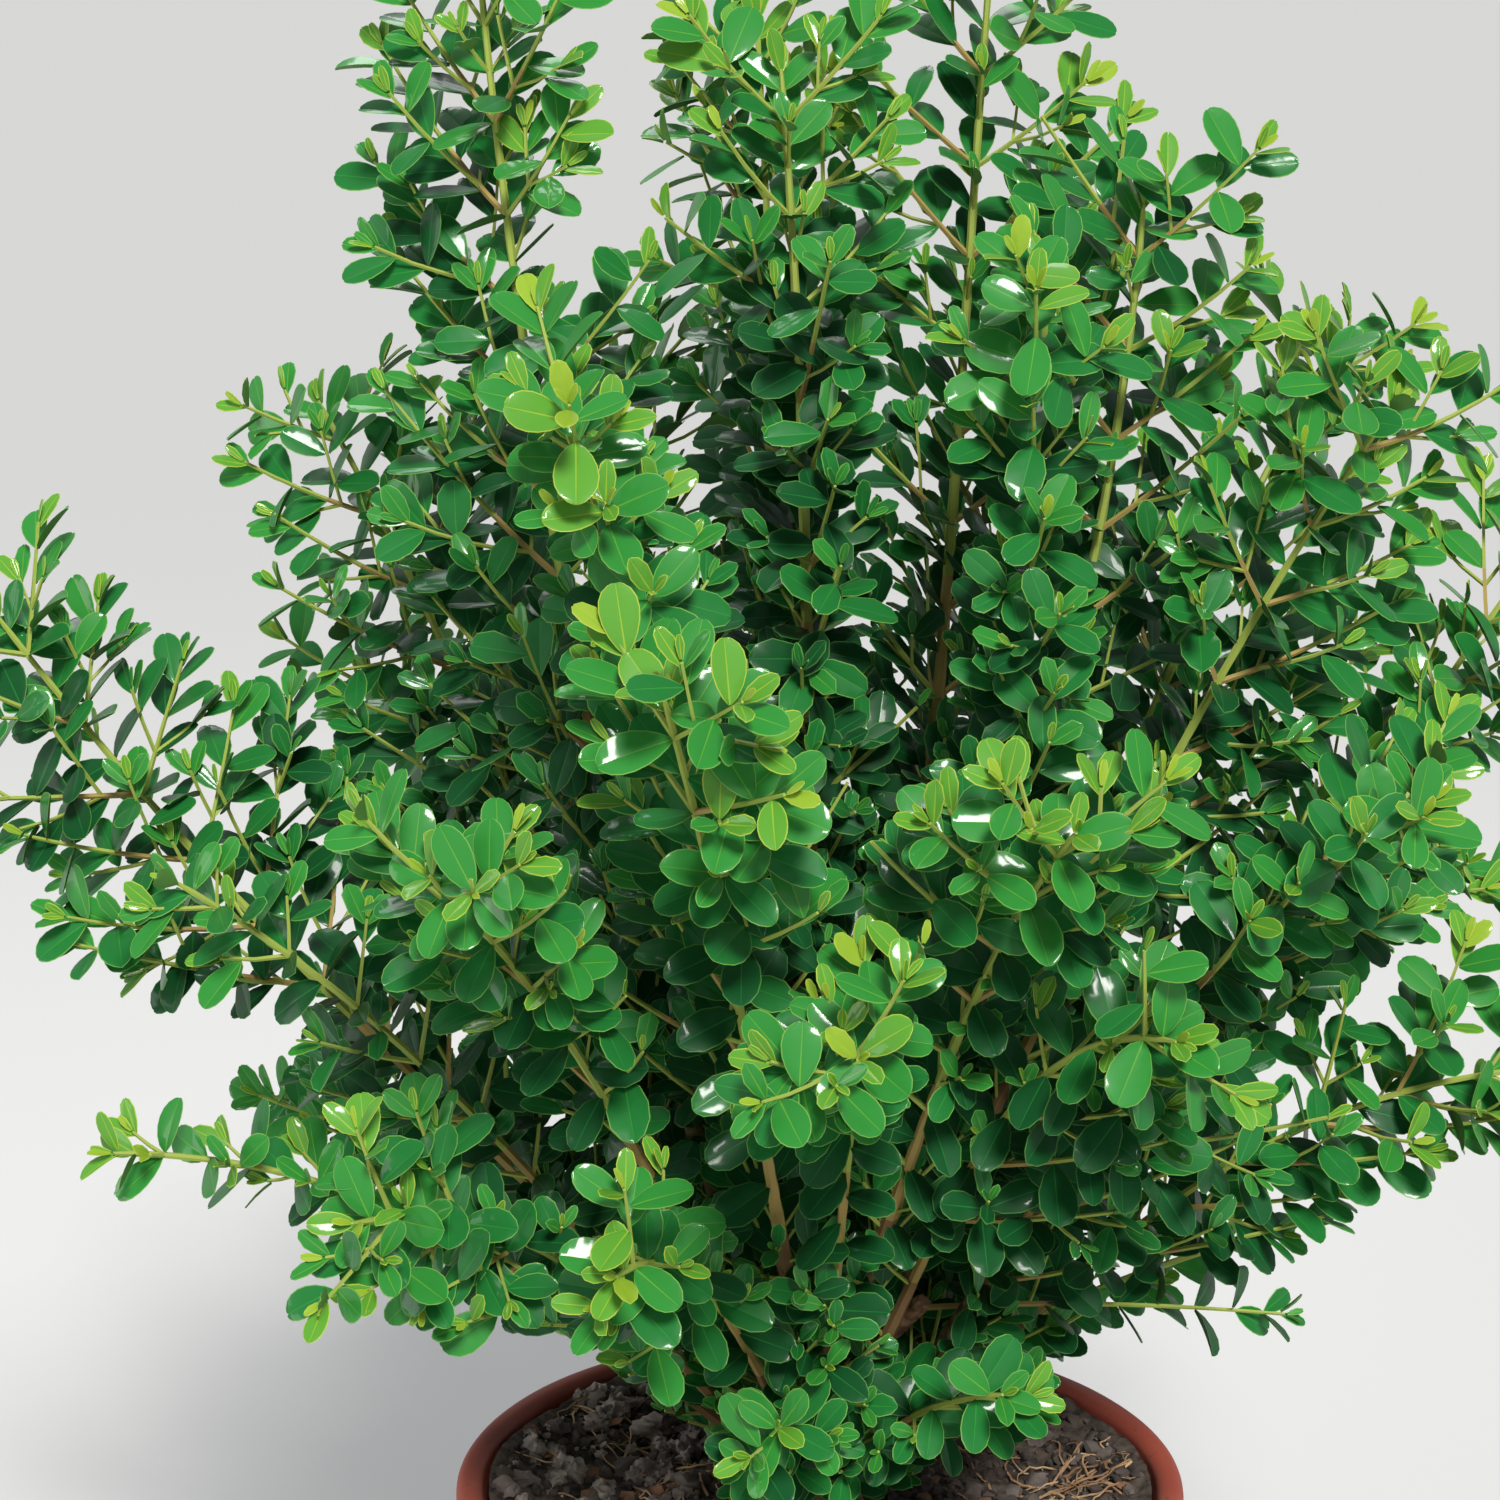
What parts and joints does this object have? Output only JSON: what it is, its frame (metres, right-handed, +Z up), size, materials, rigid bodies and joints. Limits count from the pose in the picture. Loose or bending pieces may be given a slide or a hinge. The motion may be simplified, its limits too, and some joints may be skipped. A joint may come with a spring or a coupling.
{
  "type": "potted box bush",
  "caption": "Young unclipped evergreen box bush: upright and spreading leafy shoots from one short trunk, growing in a round clay pot of compost.",
  "frame": {"origin": "middle of the pot's flat underside, where it stands on the ground", "axes": "+Z up along the pot's axis to the top of the bush; the side that shows most is the front and looks along -Y; +X is to the right of a viewer who faces the front"},
  "size_m": [0.4962, 0.4544, 0.6625],
  "materials": {
    "clay": "unglazed fired clay, matte, slightly weathered",
    "compost": "dark crumbly potting compost, fully matte",
    "bark": "thin grey-brown fissured bark, matte",
    "foliage": "small leathery leaves, glossy above and paler beneath"
  },
  "bodies": {
    "root": {"bough_arm_1": "bark", "bough_arm_2": "bark", "bough_arm_3": "bark", "bough_arm_4": "bark", "bough_arm_5": "bark", "bough_arm_6": "bark", "bough_arm_7": "bark", "bough_leader_1": "bark", "bough_leader_2": "bark", "bough_leader_3": "bark", "bough_leader_4": "bark", "bough_leader_5": "bark", "bough_shoulder_1": "bark", "bough_shoulder_2": "bark", "bough_shoulder_3": "bark", "bough_shoulder_4": "bark", "bough_shoulder_5": "bark", "bough_shoulder_6": "bark", "bough_shoulder_7": "bark", "bough_shoulder_8": "bark", "bough_shoulder_9": "bark", "foliage_arm_1": "foliage", "foliage_arm_2": "foliage", "foliage_arm_3": "foliage", "foliage_arm_4": "foliage", "foliage_arm_5": "foliage", "foliage_arm_6": "foliage", "foliage_arm_7": "foliage", "foliage_centre_1": "foliage", "foliage_foot_1": "foliage", "foliage_foot_2": "foliage", "foliage_leader_1": "foliage", "foliage_leader_2": "foliage", "foliage_leader_3": "foliage", "foliage_leader_4": "foliage", "foliage_leader_5": "foliage", "foliage_shoulder_1": "foliage", "foliage_shoulder_2": "foliage", "foliage_shoulder_3": "foliage", "foliage_shoulder_4": "foliage", "foliage_shoulder_5": "foliage", "foliage_shoulder_6": "foliage", "foliage_shoulder_7": "foliage", "foliage_shoulder_8": "foliage", "foliage_shoulder_9": "foliage", "foliage_skirt_1": "foliage", "foliage_skirt_10": "foliage", "foliage_skirt_11": "foliage", "foliage_skirt_2": "foliage", "foliage_skirt_3": "foliage", "foliage_skirt_4": "foliage", "foliage_skirt_5": "foliage", "foliage_skirt_6": "foliage", "foliage_skirt_7": "foliage", "foliage_skirt_8": "foliage", "foliage_skirt_9": "foliage", "pot": "clay", "pruned_stub": "bark", "soil": "compost", "trunk": "bark"}
  },
  "joints": []
}
